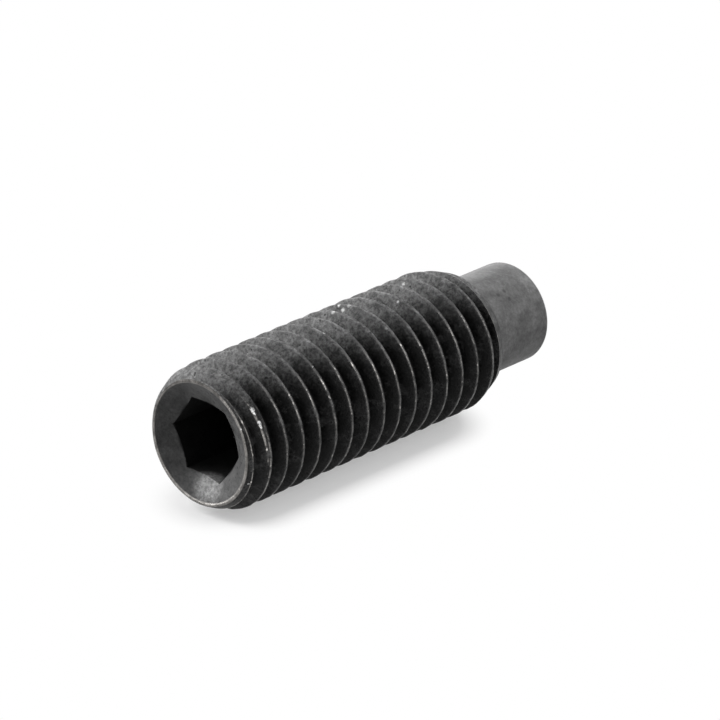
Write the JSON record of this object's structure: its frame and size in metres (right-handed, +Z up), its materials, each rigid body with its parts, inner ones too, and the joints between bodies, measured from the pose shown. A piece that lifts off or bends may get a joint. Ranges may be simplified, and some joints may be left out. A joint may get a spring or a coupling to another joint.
{
  "type": "grub screw",
  "caption": "Headless set screw with a metric thread, a countersunk hexagon key socket in its upper end and a long flat cylindrical point below the shoulder.",
  "frame": {"origin": "centre of the flat at the end of the point, on which the screw stands", "axes": "+Z up the screw's axis, from the point to the socket; two flats of the socket face +X and -X; +Y completes the right-handed frame"},
  "size_m": [0.0098, 0.0098, 0.0297],
  "materials": {
    "black_steel": "black oxide, matt and slightly grainy, worn bright along the thread crests and the socket rim"
  },
  "bodies": {
    "root": {"set_screw": "black_steel"}
  },
  "joints": []
}
